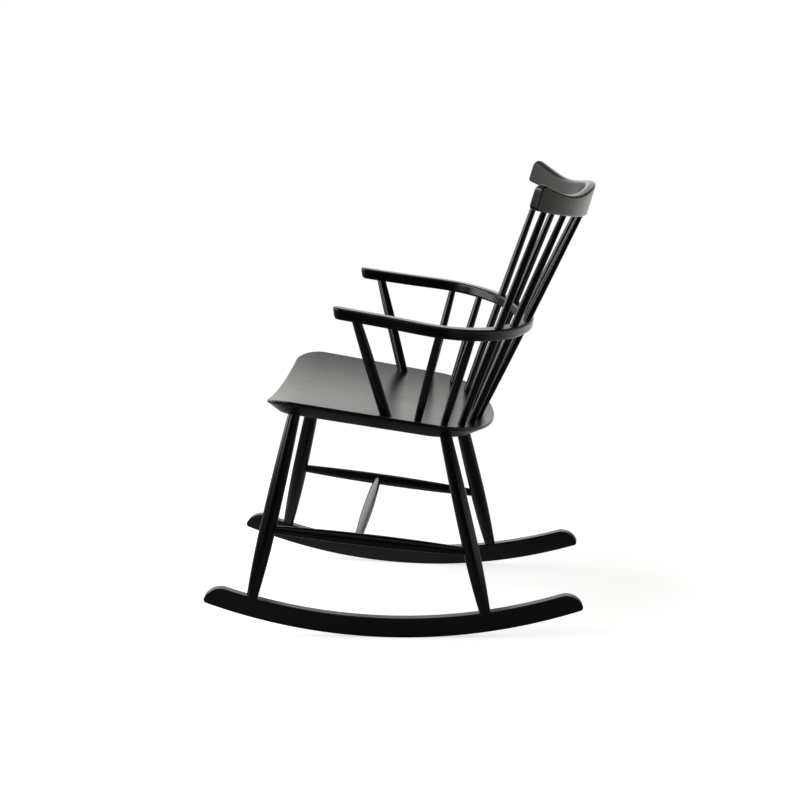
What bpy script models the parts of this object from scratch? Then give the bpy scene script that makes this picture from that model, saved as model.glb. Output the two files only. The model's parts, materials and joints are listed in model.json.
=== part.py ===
"""Spindle-back rocking chair in black lacquered wood.

A dished plank seat stands on four turned legs, tied by an H of stretchers and tenoned into two curved
rockers. One bent bow makes both arms and the back rail. Six long spindles run from the seat through the
bow to a bent crest rail, and posts and short spindles carry the arms.

Metres, +Z up. The sitter faces -Y and the sitter's left is +X. Heights start at the floor. While the
pieces are laid out, y = 0 is the lowest point of the rockers; the chair's root then moves everything so
that the origin lies on the floor under the middle of the chair.
"""
import math

import bmesh
import bpy
import numpy as np
from mathutils import Matrix, Vector

# Fits
CLEARANCE = 0.0003              # air between a piece and the socket or shoulder that it seats in
WELD = 0.00001                  # vertices closer than this are one vertex

# Seat, on a plane through the underside of its rim
SEAT_FRONT_REACH = 0.2551       # front edge, forward of the lowest point of the rockers
SEAT_FRONT_HEIGHT = 0.4653      # level of the rim at the front edge, above the floor
SEAT_SLOPE = math.radians(8.6)  # the seat falls towards the back
SEAT_DEPTH = 0.4270
SEAT_FRONT_HALF_WIDTH = 0.260   # where the front corners end
SEAT_REAR_HALF_WIDTH = 0.2485   # where the rear round starts
SEAT_CORNER_RADIUS = 0.054      # front corners, in plan
SEAT_REAR_ROUND = 0.126         # the back of the seat is half an ellipse, this deep
SEAT_THICKNESS = 0.0275         # at the sides
SEAT_DISH = 0.020               # the middle of the top lies this much below the rim
SEAT_BELLY = 0.013              # the middle of the underside hangs this much below its rim
SEAT_ROLL = 0.0062              # the top falls this much at the front edge
SEAT_ROLL_REACH = 0.052         # and starts to fall this far behind it
SEAT_CHAMFER_INSET = 0.026      # underside chamfer, measured in from the edge
SEAT_CHAMFER_HEIGHT = 0.0205
SEAT_EDGE_RADIUS = 0.0025
SEAT_OUTLINE_POINTS = 13        # along each front corner and each rear quarter
DISH_STRIPS = 14
ROLL_STRIPS = 4

# Rockers
ROCKER_RADIUS = 1.065           # bottom edge
ROCKER_HEIGHT = 0.038
ROCKER_THICKNESS = 0.0215
ROCKER_FRONT_REACH = 0.380      # along the rocker, from its lowest point to the front tip
ROCKER_REAR_REACH = 0.342
ROCKER_HALF_SPACING = 0.2344    # from the middle of the chair to a rocker's middle, at the lowest point
ROCKER_TOE_IN = math.radians(3.56)
ROCKER_NOSE = 0.034             # length of the rounded noses
ROCKER_EDGE_RADIUS = 0.002
ROCKER_FACET = 0.030            # length of the straight runs that make the bottom curve
ROCKER_NOSE_POINTS = 7

# Legs
LEG_TOP_RADIUS = 0.0112
LEG_SWELL_RADIUS = 0.0154
LEG_SWELL_AT = 0.36             # share of the leg's length, from the rocker
LEG_SOCKET_DEPTH = 0.0095       # stub of the leg inside the seat
LEG_TENON_RADIUS = 0.006
LEG_TENON_LENGTH = 0.018        # below the rocker's top edge
FRONT_LEG_REACH = 0.2865        # foot along the rocker, forward of its lowest point
REAR_LEG_REACH = 0.1545         # and back from it
FRONT_LEG_SETBACK = 0.0538      # leg centre behind the seat's front edge, on the underside
REAR_LEG_ADVANCE = 0.0859       # leg centre in front of the seat's rear edge
FRONT_LEG_INSET = 0.053         # leg centre in from the seat's side
REAR_LEG_INSET = 0.044

# Stretchers
SIDE_STRETCHER_FRONT_HEIGHT = 0.207
SIDE_STRETCHER_REAR_HEIGHT = 0.163
SIDE_STRETCHER_END_RADIUS = 0.0073
SIDE_STRETCHER_SWELL_RADIUS = 0.0118
CROSS_STRETCHER_AT = 0.44       # share of the side stretcher, from its front end
CROSS_STRETCHER_END_RADIUS = 0.0066
CROSS_STRETCHER_SWELL_RADIUS = 0.0106
STRETCHER_SWELL_AT = 0.5
STRETCHER_STOP = 0.002          # a stretcher ends this far short of the axis that it meets

# Arm bow, in its own sloping plane, measured forward of the seat's rear edge
BOW_HEIGHT = 0.5826             # middle of the bow above the floor, over the seat's rear edge
BOW_SLOPE = math.radians(8.8)
BOW_WIDTH = 0.027
BOW_THICKNESS = 0.0212
BOW_EDGE_RADIUS = 0.0045
BOW_TIP_ADVANCE = 0.2830
BOW_TIP_ROUND = 0.012           # length of the rounded tip
BOW_TIP_HALF_SPREAD = 0.270     # centre line of the arm at its tip
BOW_ELBOW_ADVANCE = 0.1691
BOW_ELBOW_HALF_SPREAD = 0.283
BOW_WIDEST_ADVANCE = 0.0971
BOW_WIDEST_HALF_SPREAD = 0.2905
BOW_SAMPLES = 44
BOW_TIP_POINTS = 7

# Posts and short spindles: feet in front of the seat's rear edge and in from its side, tops along the bow
POST_FOOT_RADIUS = 0.0104
POST_TOP_RADIUS = 0.0081
POST_SWELL_AT = 0.4             # the post is straight up to here
POST_FOOT_ADVANCE = 0.2024
POST_FOOT_INSET = 0.032
POST_TOP_ADVANCE = 0.2553
SHORT_SPINDLE_END_RADIUS = 0.0065
SHORT_SPINDLE_SWELL_RADIUS = 0.0079
SHORT_SPINDLE_SWELL_AT = 0.5
FRONT_SHORT_FOOT_ADVANCE = 0.1424
FRONT_SHORT_FOOT_INSET = 0.0336
FRONT_SHORT_TOP_ADVANCE = 0.0981
REAR_SHORT_FOOT_ADVANCE = 0.0930
REAR_SHORT_FOOT_INSET = 0.036
REAR_SHORT_TOP_ADVANCE = 0.0389
FOOT_SOCKET_DEPTH = 0.012
BOW_SOCKET_DEPTH = 0.013        # posts and short spindles, up into the bow

# Long spindles
LONG_SPINDLE_FOOT_RADIUS = 0.0067
LONG_SPINDLE_SWELL_RADIUS = 0.0079
LONG_SPINDLE_TOP_RADIUS = 0.0055
LONG_SPINDLE_SWELL_AT = 0.36
LONG_SPINDLE_INSET = 0.030      # feet stand on half an ellipse, this far inside the seat's edge
LONG_SPINDLE_FOOT_ARC = 0.089   # and this deep
LONG_SPINDLE_FOOT_ANGLES = {
    "inner": math.radians(11),
    "middle": math.radians(31.6),
    "outer": math.radians(49.5),
}
LONG_SPINDLE_TOP_ANGLES = {
    "inner": math.radians(7),
    "middle": math.radians(23.3),
    "outer": math.radians(32.7),
}
CREST_SOCKET_DEPTH = 0.020

# Crest rail, a board bent round an upright axis that leans back
CREST_SETBACK = 0.1633          # middle of the board behind the seat's rear edge,
CREST_HEIGHT = 0.7908           # and above the floor, at the level of its ends' lower corners
CREST_LEAN = math.radians(16)
CREST_RADIUS = 0.505
CREST_HALF_LENGTH = 0.328       # along the bend
CREST_THICKNESS = 0.018
CREST_END_HEIGHT = 0.0485       # upper edge above the level of the ends' lower corners: at the ends,
CREST_WAIST_HEIGHT = 0.035      # at the low waists between,
CREST_MIDDLE_HEIGHT = 0.056     # and at the crown in the middle
CREST_WAIST_AT = 0.64           # share of the half length
CREST_BELLY = 0.0050            # the lower edge hangs this much lower in the middle
CREST_TOP_CORNER = 0.013
CREST_LOW_CORNER = 0.007
CREST_EDGE_RADIUS = 0.0045
CREST_STRIPS = 24
CREST_EDGE_SAMPLES = 97
CREST_CORNER_POINTS = 5

# Facets
EDGE_STEPS = 2                  # in a rounded edge
SPINDLE_SIDES = 12
LEG_SIDES = 16
TURNING_STATIONS = 9

FLAT_ANGLE = math.radians(2.5)  # a face that leans less than this lies flat
SIDES = {"left": 1.0, "right": -1.0}
LACQUER_COLOUR = (0.012, 0.012, 0.012, 1.0)
LACQUER_ROUGHNESS = 0.38


# Scene helpers
def clear_scene():
    for obj in list(bpy.data.objects):
        bpy.data.objects.remove(obj, do_unlink=True)


def new_collection(name):
    collection = bpy.data.collections.new(name)
    bpy.context.scene.collection.children.link(collection)
    return collection


def lacquer(name):
    material = bpy.data.materials.new(name + "_lacquer")
    material.use_nodes = True
    shader = material.node_tree.nodes["Principled BSDF"]
    shader.inputs["Base Color"].default_value = LACQUER_COLOUR
    shader.inputs["Roughness"].default_value = LACQUER_ROUGHNESS
    shader.inputs["Metallic"].default_value = 0.0
    return material


def add_object(name, mesh, matrix, collection):
    obj = bpy.data.objects.new(name, mesh)
    collection.objects.link(obj)
    obj.parent = root
    obj.matrix_basis = matrix
    return obj


def finish_part(obj):
    obj.data.materials.append(lacquer(obj.name))
    obj.data.shade_smooth()
    return obj


def finish_cutter(obj):
    obj.hide_render = True
    obj.display_type = "WIRE"
    return obj


def combine(target, tool, operation="DIFFERENCE"):
    boolean = target.modifiers.new(tool.name, "BOOLEAN")
    boolean.operation = operation
    boolean.solver = "EXACT"
    boolean.object = tool


# Shape helpers
def axis_frame(start, end):
    """Frame with its origin at start and +Z towards end."""
    direction = end - start
    return Matrix.Translation(start) @ direction.to_track_quat("Z", "Y").to_matrix().to_4x4()


def swelling(length, start_radius, swell_radius, end_radius, swell_at):
    """Stations (distance, radius) that swell from one end to swell_at and taper to the other end."""
    stations = []
    for share in np.linspace(0.0, 1.0, TURNING_STATIONS):
        if share < swell_at:
            end_of_run = start_radius
            away = 1.0 - share / swell_at
        else:
            end_of_run = end_radius
            away = (share - swell_at) / (1.0 - swell_at)
        radius = swell_radius + (end_of_run - swell_radius) * away ** 2
        stations.append((share * length, radius))
    return stations


def turning(name, stations, start, end, sides, collection):
    """A turned piece: its outer profile, run from top to bottom, spun by a Screw modifier."""
    profile = [(0.0, 0.0, stations[-1][0])]
    profile += [(radius, 0.0, distance) for distance, radius in reversed(stations)]
    profile += [(0.0, 0.0, stations[0][0])]
    mesh = bpy.data.meshes.new(name)
    mesh.from_pydata(profile, [(i, i + 1) for i in range(len(profile) - 1)], [])
    obj = add_object(name, mesh, axis_frame(start, end), collection)
    screw = obj.modifiers.new("turning", "SCREW")
    screw.axis = "Z"
    screw.angle = math.tau
    screw.steps = sides
    screw.render_steps = sides
    screw.use_merge_vertices = True
    screw.merge_threshold = WELD
    screw.use_smooth_shade = True
    return obj


def turned_part(name, stations, start, end, sides):
    """A turned piece and the slightly larger cutter that clears its sockets."""
    part = finish_part(turning(name, stations, start, end, sides, parts))
    larger = [(distance, radius + CLEARANCE) for distance, radius in stations]
    larger[0] = (stations[0][0] - CLEARANCE, larger[0][1])
    larger[-1] = (stations[-1][0] + CLEARANCE, larger[-1][1])
    socket = finish_cutter(turning(name + "_socket", larger, start, end, sides, cutters))
    return part, socket


def mirrored(points):
    """The outline's points on the other side of its middle, in the order that continues it."""
    return [(-x, y) for x, y in reversed(points)]


def outline_mesh(name, points, half_thickness, edge_radius=0.0):
    """A flat outline in XY, filled and given its thickness along Z, as a welded mesh.

    A rounded edge stands outside the points given by its radius.
    """
    curve = bpy.data.curves.new(name + "_outline", "CURVE")
    curve.dimensions = "2D"
    curve.fill_mode = "BOTH"
    curve.extrude = half_thickness - edge_radius
    curve.bevel_depth = edge_radius
    curve.bevel_resolution = EDGE_STEPS
    spline = curve.splines.new("POLY")
    spline.points.add(len(points) - 1)
    for point, (x, y) in zip(spline.points, points):
        point.co = (x, y, 0.0, 1.0)
    spline.use_cyclic_u = True
    carrier = bpy.data.objects.new(name + "_outline", curve)
    cutters.objects.link(carrier)
    evaluated = carrier.evaluated_get(bpy.context.evaluated_depsgraph_get())
    mesh = bpy.data.meshes.new_from_object(evaluated)
    mesh.name = name
    bpy.data.objects.remove(carrier, do_unlink=True)
    solid = bmesh.new()
    solid.from_mesh(mesh)
    bmesh.ops.remove_doubles(solid, verts=solid.verts, dist=WELD)
    bmesh.ops.recalc_face_normals(solid, faces=solid.faces)
    for way in (1.0, -1.0):
        flat_side = [face for face in solid.faces if face.normal.z * way > math.cos(FLAT_ANGLE)]
        bmesh.ops.dissolve_faces(solid, faces=flat_side)
    solid.to_mesh(mesh)
    solid.free()
    return mesh


def smooth_curve(points, samples):
    """Natural cubic spline through the points, by chord length, at evenly spread samples."""
    points = np.asarray(points)
    knots = np.concatenate([[0.0], np.cumsum(np.linalg.norm(np.diff(points, axis=0), axis=1))])
    step = np.diff(knots)
    count = len(points)
    system = np.eye(count)
    right = np.zeros_like(points)
    for i in range(1, count - 1):
        system[i, i - 1:i + 2] = (step[i - 1], 2.0 * (step[i - 1] + step[i]), step[i])
        right[i] = 6.0 * ((points[i + 1] - points[i]) / step[i] - (points[i] - points[i - 1]) / step[i - 1])
    bend = np.linalg.solve(system, right)
    at = np.linspace(0.0, knots[-1], samples)
    run = np.clip(np.searchsorted(knots, at, side="right") - 1, 0, count - 2)
    before = (at - knots[run])[:, None]
    after = (knots[run + 1] - at)[:, None]
    width = step[run][:, None]
    curve = (bend[run] * after ** 3 + bend[run + 1] * before ** 3) / (6.0 * width)
    curve += (points[run] / width - bend[run] * width / 6.0) * after
    curve += (points[run + 1] / width - bend[run + 1] * width / 6.0) * before
    return curve


# Seat
seat_frame = (Matrix.Translation((0.0, -SEAT_FRONT_REACH, SEAT_FRONT_HEIGHT))
              @ Matrix.Rotation(-SEAT_SLOPE, 4, "X")
              @ Matrix.Translation((0.0, 0.0, -SEAT_THICKNESS)))
SEAT_REAR_START = SEAT_DEPTH - SEAT_REAR_ROUND
seat_back_y = SEAT_DEPTH * math.cos(SEAT_SLOPE) - SEAT_FRONT_REACH


def seat_half_width(setback):
    """Half the seat's width at a distance behind its front edge, its front corners left square."""
    if setback > SEAT_REAR_START:
        share = (setback - SEAT_REAR_START) / SEAT_REAR_ROUND
        return SEAT_REAR_HALF_WIDTH * math.sqrt(max(0.0, 1.0 - share ** 2))
    run = (setback - SEAT_CORNER_RADIUS) / (SEAT_REAR_START - SEAT_CORNER_RADIUS)
    return SEAT_FRONT_HALF_WIDTH + (SEAT_REAR_HALF_WIDTH - SEAT_FRONT_HALF_WIDTH) * max(run, 0.0)


def seat_hollow(x):
    """1 in the middle of the seat's width, 0 at its sides."""
    return 1.0 - (x / SEAT_FRONT_HALF_WIDTH) ** 2


def seat_low(x):
    """Level of the bellied underside; 0 at the sides."""
    return -SEAT_BELLY * seat_hollow(x)


def seat_top(x, setback):
    """Level of the dished top, which rolls down at the front."""
    roll = SEAT_ROLL * max(0.0, 1.0 - setback / SEAT_ROLL_REACH) ** 2
    return SEAT_THICKNESS - SEAT_DISH * seat_hollow(x) - roll


def seat_level(x, setback, height):
    """Level in the hollowed seat of a height in the flat plank: the same share of the way to the top."""
    low = seat_low(x)
    return low + (seat_top(x, setback) - low) * height / SEAT_THICKNESS


def seat_outline():
    """Plan of the seat: front corner, side and rear quarter on one side, then the other side."""
    quarter = np.linspace(0.0, math.pi / 2, SEAT_OUTLINE_POINTS)
    corner_start = SEAT_FRONT_HALF_WIDTH - SEAT_CORNER_RADIUS
    half = [(corner_start + SEAT_CORNER_RADIUS * math.sin(a), SEAT_CORNER_RADIUS * (1.0 - math.cos(a)))
            for a in quarter]
    half += [(SEAT_REAR_HALF_WIDTH * math.cos(a), SEAT_REAR_START + SEAT_REAR_ROUND * math.sin(a))
             for a in quarter[:-1]]
    return half + [(0.0, SEAT_DEPTH)] + mirrored(half)


def raise_inset(solid, faces, inwards, outwards):
    """Draw a flat region in from its border and push it out, leaving a sloping band round it."""
    bmesh.ops.inset_region(solid, faces=faces, thickness=inwards, depth=outwards,
                           use_even_offset=True, use_boundary=True)


def cut_strips(solid, cuts, across=(1, 0, 0)):
    """Score a solid across a direction, so that it can be bent or hollowed there."""
    across = Vector(across)
    for cut in cuts:
        everything = list(solid.verts) + list(solid.edges) + list(solid.faces)
        bmesh.ops.bisect_plane(solid, geom=everything, dist=WELD, plane_co=across * cut, plane_no=across)


def make_seat():
    """The plank: chamfered underneath, rounded at the rim, hollowed across its width, rolled at the front."""
    rim_height = SEAT_THICKNESS - SEAT_CHAMFER_HEIGHT - SEAT_EDGE_RADIUS
    mesh = outline_mesh("seat", seat_outline(), rim_height / 2)
    plank = bmesh.new()
    plank.from_mesh(mesh)
    bmesh.ops.translate(plank, verts=plank.verts, vec=(0.0, 0.0, SEAT_CHAMFER_HEIGHT + rim_height / 2))
    plank.normal_update()
    underside = [face for face in plank.faces if face.normal.z < -math.cos(FLAT_ANGLE)]
    top = [face for face in plank.faces if face.normal.z > math.cos(FLAT_ANGLE)]
    raise_inset(plank, underside, SEAT_CHAMFER_INSET, SEAT_CHAMFER_HEIGHT)
    turn = math.pi / 2 / EDGE_STEPS
    for step in range(EDGE_STEPS):
        inwards = math.cos(step * turn) - math.cos((step + 1) * turn)
        outwards = math.sin((step + 1) * turn) - math.sin(step * turn)
        raise_inset(plank, top, SEAT_EDGE_RADIUS * inwards, SEAT_EDGE_RADIUS * outwards)
    cut_strips(plank, np.linspace(-SEAT_FRONT_HALF_WIDTH, SEAT_FRONT_HALF_WIDTH, DISH_STRIPS + 1)[1:-1])
    cut_strips(plank, np.linspace(0.0, SEAT_ROLL_REACH, ROLL_STRIPS + 1)[1:], across=(0, 1, 0))
    for vert in plank.verts:
        vert.co.z = seat_level(*vert.co)
    plank.to_mesh(mesh)
    plank.free()
    return finish_part(add_object("seat", mesh, seat_frame, parts))


# Rockers
ROCKER_TOP_RADIUS = ROCKER_RADIUS - ROCKER_HEIGHT
ROCKER_SAG = (ROCKER_RADIUS - ROCKER_EDGE_RADIUS) * (1.0 - math.cos(ROCKER_FACET / 2 / ROCKER_RADIUS))


def rocker_frame(side):
    """Rocker's own frame: X runs back along the rocker, Y up, Z across it."""
    turn = Matrix.Rotation(side * ROCKER_TOE_IN, 4, "Z")
    stand = Matrix(((0, 0, 1, 0), (1, 0, 0, 0), (0, 1, 0, 0), (0, 0, 0, 1)))
    return Matrix.Translation((side * ROCKER_HALF_SPACING, 0.0, -ROCKER_SAG)) @ turn @ stand


def rocker_point(along, depth):
    """Point at an arc length along the bottom edge, and a depth up into the board."""
    angle = along / ROCKER_RADIUS
    radius = ROCKER_RADIUS - depth
    return (radius * math.sin(angle), ROCKER_RADIUS - radius * math.cos(angle))


def rocker_arc_end(reach):
    """Arc length of the bottom edge at a reach measured level along the floor."""
    return ROCKER_RADIUS * math.asin(reach / ROCKER_RADIUS)


def rocker_nose(reach_end, direction):
    """Quarter-round nose from the bottom edge to the top edge, inside the rounded edges."""
    length = ROCKER_NOSE - ROCKER_EDGE_RADIUS
    height = ROCKER_HEIGHT - 2 * ROCKER_EDGE_RADIUS
    tip = reach_end - direction * ROCKER_EDGE_RADIUS
    turns = np.linspace(0.0, math.pi / 2, ROCKER_NOSE_POINTS)
    back = direction * length * (1.0 - np.cos(turns))
    depth = ROCKER_EDGE_RADIUS + height * np.sin(turns)
    return [rocker_point(*place) for place in zip(tip - back, depth)]


def rocker_outline():
    """Bottom curve in straight facets, one of them level at the lowest point, and a nose at each end."""
    front = -rocker_arc_end(ROCKER_FRONT_REACH)
    rear = rocker_arc_end(ROCKER_REAR_REACH)
    count = math.ceil(max(-front, rear) / ROCKER_FACET)
    joints = [(k + 0.5) * ROCKER_FACET for k in range(-count, count)]
    end_room = ROCKER_FACET / 4
    top_end_room = ROCKER_NOSE + ROCKER_FACET / 2
    bottom = [rocker_point(s, ROCKER_EDGE_RADIUS) for s in joints if front + end_room < s < rear - end_room]
    top = [rocker_point(s, ROCKER_HEIGHT - ROCKER_EDGE_RADIUS) for s in joints
           if front + top_end_room < s < rear - top_end_room]
    return bottom + rocker_nose(rear, 1.0) + top[::-1] + rocker_nose(front, -1.0)[::-1]


def make_rocker(name, side):
    mesh = outline_mesh(name, rocker_outline(), ROCKER_THICKNESS / 2, ROCKER_EDGE_RADIUS)
    return finish_part(add_object(name, mesh, rocker_frame(side), parts))


def rocker_top(along, side):
    """Point on the middle of the rocker's top edge, and the direction square to that edge."""
    up = math.sqrt(ROCKER_TOP_RADIUS ** 2 - along ** 2)
    frame = rocker_frame(side)
    point = frame @ Vector((along, ROCKER_RADIUS - up, 0.0))
    normal = frame.to_3x3() @ Vector((-along, up, 0.0)).normalized()
    return point, normal


# Legs
def make_leg(name, side, foot_along, setback, inset, seat, rocker):
    """A turned leg, coped to the rocker's top edge, with a stub in the seat and a tenon in the rocker."""
    foot, normal = rocker_top(foot_along, side)
    x = side * (seat_half_width(setback) - inset)
    shoulder = seat_frame @ Vector((x, setback, seat_low(x)))
    axis = (shoulder - foot).normalized()
    foot_radius = ROCKER_THICKNESS / 2
    start = foot - axis * foot_radius
    end = shoulder + axis * LEG_SOCKET_DEPTH
    stations = swelling((end - start).length, foot_radius, LEG_SWELL_RADIUS, LEG_TOP_RADIUS, LEG_SWELL_AT)
    leg, socket = turned_part(name, stations, start, end, LEG_SIDES)
    combine(seat, socket)

    cope_size = 4 * ROCKER_THICKNESS
    cope_mesh = bpy.data.meshes.new(name + "_cope")
    block = bmesh.new()
    bmesh.ops.create_cube(block, size=cope_size)
    block.to_mesh(cope_mesh)
    block.free()
    cope_place = axis_frame(foot + normal * (CLEARANCE - cope_size / 2), foot + normal)
    cope = finish_cutter(add_object(name + "_cope", cope_mesh, cope_place, cutters))
    combine(leg, cope)

    tenon_start = foot - axis * LEG_TENON_LENGTH
    tenon_end = foot + axis * 2 * foot_radius
    tenon_length = (tenon_end - tenon_start).length
    tenon_stations = [(0.0, LEG_TENON_RADIUS), (tenon_length, LEG_TENON_RADIUS)]
    tenon = turning(name + "_tenon", tenon_stations, tenon_start, tenon_end, SPINDLE_SIDES, cutters)
    combine(leg, finish_cutter(tenon), "UNION")
    mortise_radius = LEG_TENON_RADIUS + CLEARANCE
    mortise_stations = [(-CLEARANCE, mortise_radius), (tenon_length, mortise_radius)]
    mortise = turning(name + "_mortise", mortise_stations, tenon_start, tenon_end, SPINDLE_SIDES, cutters)
    combine(rocker, finish_cutter(mortise))
    return leg, foot, axis


def at_height(foot, axis, height):
    """Point of a leg's axis at a height above the floor."""
    return foot + axis * ((height - foot.z) / axis.z)


# Stretchers
def make_stretcher(name, start_axis_point, end_axis_point, end_radius, swell_radius, sides, carriers):
    """A turned stretcher between two axes, let into the piece round each axis."""
    run = (end_axis_point - start_axis_point).normalized()
    start = start_axis_point + run * STRETCHER_STOP
    end = end_axis_point - run * STRETCHER_STOP
    stations = swelling((end - start).length, end_radius, swell_radius, end_radius, STRETCHER_SWELL_AT)
    stretcher, socket = turned_part(name, stations, start, end, sides)
    for carrier in carriers:
        combine(carrier, socket)
    return stretcher


# Crest rail
crest_y = seat_back_y + CREST_SETBACK
crest_frame = Matrix.Translation((0.0, crest_y, CREST_HEIGHT)) @ Matrix.Rotation(-CREST_LEAN, 4, "X")


def crest_cuts():
    """Where the flat board is cut in strips, from end to end."""
    return np.linspace(-CREST_HALF_LENGTH, CREST_HALF_LENGTH, CREST_STRIPS + 1)


def crest_low(along):
    """Lower edge: a shallow belly between the ends."""
    return -CREST_BELLY * (1.0 - (along / CREST_HALF_LENGTH) ** 2)


def crest_high(along):
    """Upper edge: a crown in the middle, a waist on each side and a raised end."""
    waist = CREST_WAIST_AT * CREST_HALF_LENGTH
    edge = smooth_curve([(-CREST_HALF_LENGTH, CREST_END_HEIGHT), (-waist, CREST_WAIST_HEIGHT),
                         (0.0, CREST_MIDDLE_HEIGHT), (waist, CREST_WAIST_HEIGHT),
                         (CREST_HALF_LENGTH, CREST_END_HEIGHT)], CREST_EDGE_SAMPLES)
    return float(np.interp(along, edge[:, 0], edge[:, 1]))


def crest_outline():
    """Flat pattern of the crest inside its rounded edges: crowned top, bellied lower edge, round corners."""
    quarter = np.linspace(0.0, math.pi / 2, CREST_CORNER_POINTS)
    low_end = CREST_HALF_LENGTH - CREST_LOW_CORNER
    high_end = CREST_HALF_LENGTH - CREST_TOP_CORNER
    low_radius = CREST_LOW_CORNER - CREST_EDGE_RADIUS
    high_radius = CREST_TOP_CORNER - CREST_EDGE_RADIUS
    lower = [(low_end + low_radius * math.sin(a), low_radius * (1.0 - math.cos(a))) for a in quarter]
    upper = [(high_end + high_radius * math.cos(a), high_radius * (1.0 - math.sin(a))) for a in quarter]
    end = [(x, crest_low(x) + CREST_EDGE_RADIUS + rise) for x, rise in lower]
    end += [(x, crest_high(x) - CREST_EDGE_RADIUS - drop) for x, drop in upper]
    cuts = crest_cuts()
    strip = cuts[1] - cuts[0]
    stations = [s for s in cuts[:-1] + strip / 2 if abs(s) < high_end - strip / 4]
    low = [(s, crest_low(s) + CREST_EDGE_RADIUS) for s in stations]
    high = [(s, crest_high(s) - CREST_EDGE_RADIUS) for s in stations]
    return low + end + high[::-1] + mirrored(end)


def bent(along, thickness_out):
    """Place in the crest's plan of a point of the flat board: along it, and out from its middle."""
    angle = along / CREST_RADIUS
    radius = CREST_RADIUS + thickness_out
    return radius * math.sin(angle), radius * math.cos(angle) - CREST_RADIUS


def make_crest():
    """The flat pattern is cut in strips and bent round the crest's axis."""
    mesh = outline_mesh("crest_rail", crest_outline(), CREST_THICKNESS / 2, CREST_EDGE_RADIUS)
    board = bmesh.new()
    board.from_mesh(mesh)
    cut_strips(board, crest_cuts()[1:-1])
    for vert in board.verts:
        along, height, out = vert.co
        x, y = bent(along, -out)
        vert.co = (x, y, height)
    bmesh.ops.recalc_face_normals(board, faces=board.faces)
    board.to_mesh(mesh)
    board.free()
    return finish_part(add_object("crest_rail", mesh, crest_frame, parts))


# Back and arms
bow_frame = Matrix.Translation((0.0, seat_back_y, BOW_HEIGHT)) @ Matrix.Rotation(-BOW_SLOPE, 4, "X")


def rear_foot(angle):
    """Foot of a long spindle on the seat's top, on half an ellipse inside the rear edge."""
    x = (SEAT_REAR_HALF_WIDTH - LONG_SPINDLE_INSET) * math.sin(angle)
    y = SEAT_DEPTH - LONG_SPINDLE_INSET - LONG_SPINDLE_FOOT_ARC * (1.0 - math.cos(angle))
    return seat_frame @ Vector((x, y, seat_top(x, y)))


def long_spindle_ends(rank, side):
    """Ends of a long spindle: in the seat, and in the middle of the crest's thickness."""
    foot = rear_foot(side * LONG_SPINDLE_FOOT_ANGLES[rank])
    along = side * LONG_SPINDLE_TOP_ANGLES[rank] * CREST_RADIUS
    x, y = bent(along, 0.0)
    held = crest_frame @ Vector((x, y, crest_low(along) + CREST_SOCKET_DEPTH / 2))
    axis = (held - foot).normalized()
    return foot - axis * FOOT_SOCKET_DEPTH, held + axis * CREST_SOCKET_DEPTH / 2


def bow_crossing(start, end):
    """Where a line passes the bow's middle plane, in the bow's own plan."""
    low = bow_frame.inverted() @ start
    high = bow_frame.inverted() @ end
    point = low + (high - low) * (low.z / (low.z - high.z))
    return point.x, point.y


def bow_centre_line():
    """The bow's centre line from tip to tip, through the middle of every long spindle's hole."""
    left = [bow_crossing(*long_spindle_ends(rank, 1.0)) for rank in ("outer", "middle", "inner")]
    half = [(BOW_TIP_HALF_SPREAD, -BOW_TIP_ADVANCE), (BOW_ELBOW_HALF_SPREAD, -BOW_ELBOW_ADVANCE),
            (BOW_WIDEST_HALF_SPREAD, -BOW_WIDEST_ADVANCE)] + left
    whole = half + [(-x, y) for x, y in reversed(half)]
    return smooth_curve(whole, BOW_SAMPLES)


def bow_outline(centre):
    """Both edges of the bow at an even distance from its centre line, with half-round tips."""
    half_width = BOW_WIDTH / 2 - BOW_EDGE_RADIUS
    tangent = np.gradient(centre, axis=0)
    tangent /= np.linalg.norm(tangent, axis=1)[:, None]
    normal = np.stack([-tangent[:, 1], tangent[:, 0]], axis=1)
    tip = BOW_TIP_ROUND - BOW_EDGE_RADIUS
    turn = np.linspace(0.0, math.pi, BOW_TIP_POINTS)[1:-1, None]
    last_tip = centre[-1] + half_width * np.cos(turn) * normal[-1] + tip * np.sin(turn) * tangent[-1]
    first_tip = centre[0] - half_width * np.cos(turn) * normal[0] - tip * np.sin(turn) * tangent[0]
    outline = np.concatenate([centre + half_width * normal, last_tip,
                              (centre - half_width * normal)[::-1], first_tip])
    return [tuple(point) for point in outline]


def make_bow(centre):
    mesh = outline_mesh("arm_bow", bow_outline(centre), BOW_THICKNESS / 2, BOW_EDGE_RADIUS)
    return finish_part(add_object("arm_bow", mesh, bow_frame, parts))


def bow_point(centre, advance, side):
    """Point of the arm's centre line at a distance forward of the seat's rear edge."""
    arm = centre[:len(centre) // 2]
    return bow_frame @ Vector((side * np.interp(-advance, arm[:, 1], arm[:, 0]), -advance, 0.0))


def side_foot(advance, inset, side):
    """Foot of a post or short spindle on the seat's top, in front of its rear edge and in from its side."""
    setback = SEAT_DEPTH - advance
    x = side * (seat_half_width(setback) - inset)
    return seat_frame @ Vector((x, setback, seat_top(x, setback)))


def make_upright(name, foot, head, radii, swell_at, seat, bow):
    """A post or short spindle from the seat up into a blind socket in the bow."""
    axis = (head - foot).normalized()
    start = foot - axis * FOOT_SOCKET_DEPTH
    end = head + axis * (BOW_SOCKET_DEPTH - BOW_THICKNESS / 2)
    stations = swelling((end - start).length, *radii, swell_at)
    upright, socket = turned_part(name, stations, start, end, SPINDLE_SIDES)
    combine(seat, socket)
    combine(bow, socket)
    return upright


# The chair
clear_scene()
parts = new_collection("spindle_back_rocking_chair")
cutters = new_collection("cutters")
root = bpy.data.objects.new("chair_origin", None)
parts.objects.link(root)

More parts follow.
